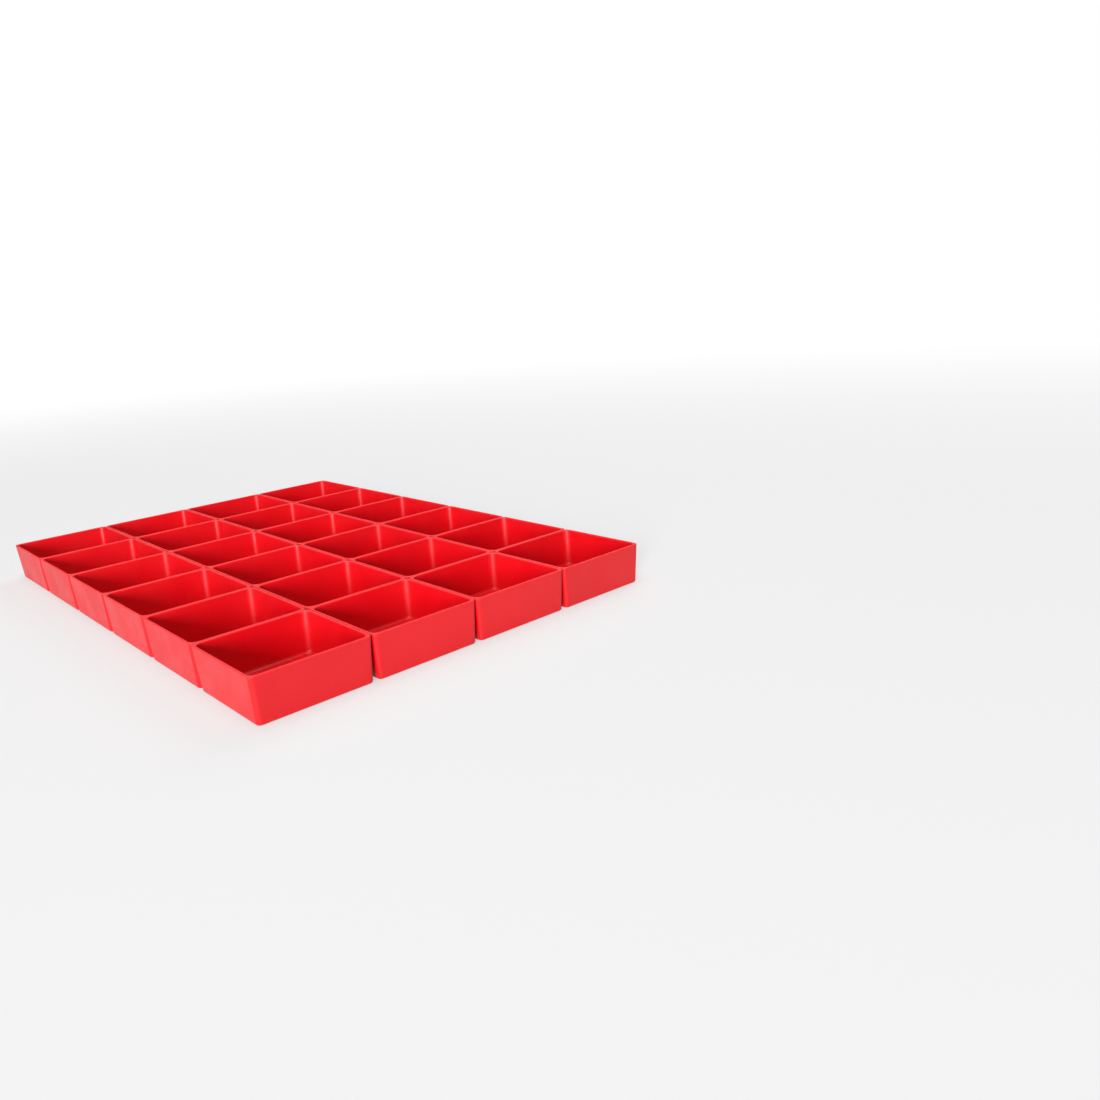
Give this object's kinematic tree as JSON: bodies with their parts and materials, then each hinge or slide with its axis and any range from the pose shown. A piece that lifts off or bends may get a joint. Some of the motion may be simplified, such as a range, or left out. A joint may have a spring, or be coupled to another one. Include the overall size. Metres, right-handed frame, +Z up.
{
  "type": "drawer divider",
  "caption": "Drawer divider of loose square open-top plastic bins with leaning walls and round corners, standing rim to rim in rows to sort small parts.",
  "frame": {"origin": "middle of the set, on the surface that the bins stand on", "axes": "+X along a row of bins to the right, +Y from the front row to the back, +Z up"},
  "size_m": [0.4496, 0.2996, 0.029],
  "materials": {
    "red_plastic": "moulded, smooth, softly glossy"
  },
  "bodies": {
    "bin_row1_col1": {"bin_row1_col1": "red_plastic"},
    "bin_row1_col2": {"bin_row1_col2": "red_plastic"},
    "bin_row1_col3": {"bin_row1_col3": "red_plastic"},
    "bin_row1_col4": {"bin_row1_col4": "red_plastic"},
    "bin_row1_col5": {"bin_row1_col5": "red_plastic"},
    "bin_row1_col6": {"bin_row1_col6": "red_plastic"},
    "bin_row2_col1": {"bin_row2_col1": "red_plastic"},
    "bin_row2_col2": {"bin_row2_col2": "red_plastic"},
    "bin_row2_col3": {"bin_row2_col3": "red_plastic"},
    "bin_row2_col4": {"bin_row2_col4": "red_plastic"},
    "bin_row2_col5": {"bin_row2_col5": "red_plastic"},
    "bin_row2_col6": {"bin_row2_col6": "red_plastic"},
    "bin_row3_col1": {"bin_row3_col1": "red_plastic"},
    "bin_row3_col2": {"bin_row3_col2": "red_plastic"},
    "bin_row3_col3": {"bin_row3_col3": "red_plastic"},
    "bin_row3_col4": {"bin_row3_col4": "red_plastic"},
    "bin_row3_col5": {"bin_row3_col5": "red_plastic"},
    "bin_row3_col6": {"bin_row3_col6": "red_plastic"},
    "bin_row4_col1": {"bin_row4_col1": "red_plastic"},
    "bin_row4_col2": {"bin_row4_col2": "red_plastic"},
    "bin_row4_col3": {"bin_row4_col3": "red_plastic"},
    "bin_row4_col4": {"bin_row4_col4": "red_plastic"},
    "bin_row4_col5": {"bin_row4_col5": "red_plastic"},
    "bin_row4_col6": {"bin_row4_col6": "red_plastic"}
  },
  "joints": [
    {"name": "lift_row1_col2", "type": "slide", "parent": "bin_row1_col1", "child": "bin_row1_col2", "axis": [0, 0, 1], "range_m": [0, 0.04]},
    {"name": "lift_row1_col3", "type": "slide", "parent": "bin_row1_col1", "child": "bin_row1_col3", "axis": [0, 0, 1], "range_m": [0, 0.04]},
    {"name": "lift_row1_col4", "type": "slide", "parent": "bin_row1_col1", "child": "bin_row1_col4", "axis": [0, 0, 1], "range_m": [0, 0.04]},
    {"name": "lift_row1_col5", "type": "slide", "parent": "bin_row1_col1", "child": "bin_row1_col5", "axis": [0, 0, 1], "range_m": [0, 0.04]},
    {"name": "lift_row1_col6", "type": "slide", "parent": "bin_row1_col1", "child": "bin_row1_col6", "axis": [0, 0, 1], "range_m": [0, 0.04]},
    {"name": "lift_row2_col1", "type": "slide", "parent": "bin_row1_col1", "child": "bin_row2_col1", "axis": [0, 0, 1], "range_m": [0, 0.04]},
    {"name": "lift_row2_col2", "type": "slide", "parent": "bin_row1_col1", "child": "bin_row2_col2", "axis": [0, 0, 1], "range_m": [0, 0.04]},
    {"name": "lift_row2_col3", "type": "slide", "parent": "bin_row1_col1", "child": "bin_row2_col3", "axis": [0, 0, 1], "range_m": [0, 0.04]},
    {"name": "lift_row2_col4", "type": "slide", "parent": "bin_row1_col1", "child": "bin_row2_col4", "axis": [0, 0, 1], "range_m": [0, 0.04]},
    {"name": "lift_row2_col5", "type": "slide", "parent": "bin_row1_col1", "child": "bin_row2_col5", "axis": [0, 0, 1], "range_m": [0, 0.04]},
    {"name": "lift_row2_col6", "type": "slide", "parent": "bin_row1_col1", "child": "bin_row2_col6", "axis": [0, 0, 1], "range_m": [0, 0.04]},
    {"name": "lift_row3_col1", "type": "slide", "parent": "bin_row1_col1", "child": "bin_row3_col1", "axis": [0, 0, 1], "range_m": [0, 0.04]},
    {"name": "lift_row3_col2", "type": "slide", "parent": "bin_row1_col1", "child": "bin_row3_col2", "axis": [0, 0, 1], "range_m": [0, 0.04]},
    {"name": "lift_row3_col3", "type": "slide", "parent": "bin_row1_col1", "child": "bin_row3_col3", "axis": [0, 0, 1], "range_m": [0, 0.04]},
    {"name": "lift_row3_col4", "type": "slide", "parent": "bin_row1_col1", "child": "bin_row3_col4", "axis": [0, 0, 1], "range_m": [0, 0.04]},
    {"name": "lift_row3_col5", "type": "slide", "parent": "bin_row1_col1", "child": "bin_row3_col5", "axis": [0, 0, 1], "range_m": [0, 0.04]},
    {"name": "lift_row3_col6", "type": "slide", "parent": "bin_row1_col1", "child": "bin_row3_col6", "axis": [0, 0, 1], "range_m": [0, 0.04]},
    {"name": "lift_row4_col1", "type": "slide", "parent": "bin_row1_col1", "child": "bin_row4_col1", "axis": [0, 0, 1], "range_m": [0, 0.04]},
    {"name": "lift_row4_col2", "type": "slide", "parent": "bin_row1_col1", "child": "bin_row4_col2", "axis": [0, 0, 1], "range_m": [0, 0.04]},
    {"name": "lift_row4_col3", "type": "slide", "parent": "bin_row1_col1", "child": "bin_row4_col3", "axis": [0, 0, 1], "range_m": [0, 0.04]},
    {"name": "lift_row4_col4", "type": "slide", "parent": "bin_row1_col1", "child": "bin_row4_col4", "axis": [0, 0, 1], "range_m": [0, 0.04]},
    {"name": "lift_row4_col5", "type": "slide", "parent": "bin_row1_col1", "child": "bin_row4_col5", "axis": [0, 0, 1], "range_m": [0, 0.04]},
    {"name": "lift_row4_col6", "type": "slide", "parent": "bin_row1_col1", "child": "bin_row4_col6", "axis": [0, 0, 1], "range_m": [0, 0.04]}
  ]
}
